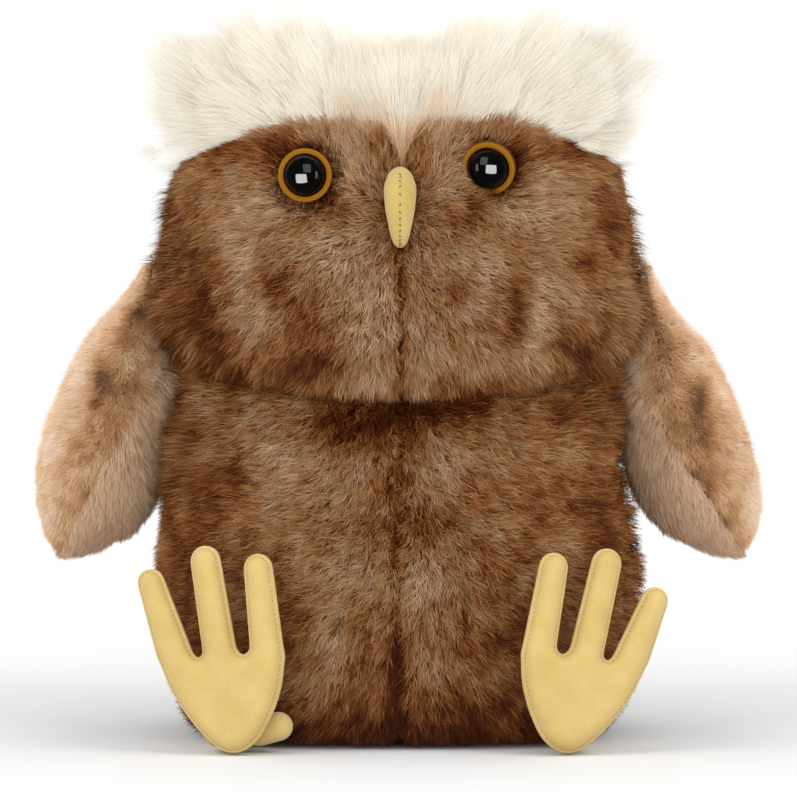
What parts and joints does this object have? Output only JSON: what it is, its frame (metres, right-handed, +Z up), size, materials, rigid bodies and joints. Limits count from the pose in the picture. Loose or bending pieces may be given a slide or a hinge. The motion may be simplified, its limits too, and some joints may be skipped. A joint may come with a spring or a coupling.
{
  "type": "plush owl",
  "caption": "Seated plush owl: squat body and broad head with a long-haired pale crown, stuffed wings hinged at the shoulders, suede feet hinged at the heels, ringed eyes and a suede beak.",
  "frame": {"origin": "centre of the bounding box seen from above, at the level that the toy sits on", "axes": "+X towards the owl's own left, +Y towards its back, +Z up"},
  "size_m": [0.2458, 0.1566, 0.24],
  "materials": {
    "brown_plush": "mottled rust and taupe pile of medium length",
    "cream_plush": "long fine pile",
    "wing_plush": "short dense curly pile",
    "wing_lining": "short sleek pile",
    "yellow_suede": "brushed suede cloth with topstitching",
    "stuffing": "loose polyester fibre",
    "pouch_cloth": "plain weave, filled with plastic beans",
    "black_gloss": "polished",
    "amber_gloss": "polished",
    "clear_plastic": "moulded"
  },
  "bodies": {
    "torso": {"base_panel": "brown_plush", "body_front_left": "brown_plush", "body_front_right": "brown_plush", "body_back_left": "brown_plush", "body_back_right": "brown_plush", "body_stuffing": "stuffing", "bean_pouch": "pouch_cloth", "face_left": "brown_plush", "face_right": "brown_plush", "head_back_left": "brown_plush", "head_back_right": "brown_plush", "crown_left": "cream_plush", "crown_right": "cream_plush", "head_stuffing": "stuffing", "eye_left": "black_gloss", "eye_right": "black_gloss", "eye_ring_left": "amber_gloss", "eye_ring_right": "amber_gloss", "eye_washer_left": "clear_plastic", "eye_washer_right": "clear_plastic", "beak": "yellow_suede", "leg_left": "yellow_suede", "leg_right": "yellow_suede"},
    "wing_left": {"wing_left_outer": "wing_plush", "wing_left_lining": "wing_lining", "wing_left_stuffing": "stuffing"},
    "wing_right": {"wing_right_outer": "wing_plush", "wing_right_lining": "wing_lining", "wing_right_stuffing": "stuffing"},
    "foot_left": {"foot_left_sole": "yellow_suede", "foot_left_upper": "yellow_suede", "foot_left_stuffing": "stuffing", "foot_left_rear_toe": "yellow_suede"},
    "foot_right": {"foot_right_sole": "yellow_suede", "foot_right_upper": "yellow_suede", "foot_right_stuffing": "stuffing", "foot_right_rear_toe": "yellow_suede"}
  },
  "joints": [
    {"name": "wing_left_lift", "type": "hinge", "parent": "torso", "child": "wing_left", "pos_m": [0.0855, 0.00487, 0.15], "axis": [0, -1, 0], "range_deg": [0, 60], "stiffness_Nm_per_rad": 0.01},
    {"name": "wing_right_lift", "type": "hinge", "parent": "torso", "child": "wing_right", "pos_m": [-0.0855, 0.00487, 0.15], "axis": [0, 1, 0], "range_deg": [0, 60], "stiffness_Nm_per_rad": 0.01},
    {"name": "foot_left_fold", "type": "hinge", "parent": "torso", "child": "foot_left", "pos_m": [0.052, -0.07263, 0.0054], "axis": [0.9781, 0.2079, 0], "range_deg": [0, 80], "stiffness_Nm_per_rad": 0.004},
    {"name": "foot_right_fold", "type": "hinge", "parent": "torso", "child": "foot_right", "pos_m": [-0.052, -0.07263, 0.0054], "axis": [0.9781, -0.2079, 0], "range_deg": [0, 80], "stiffness_Nm_per_rad": 0.004}
  ]
}
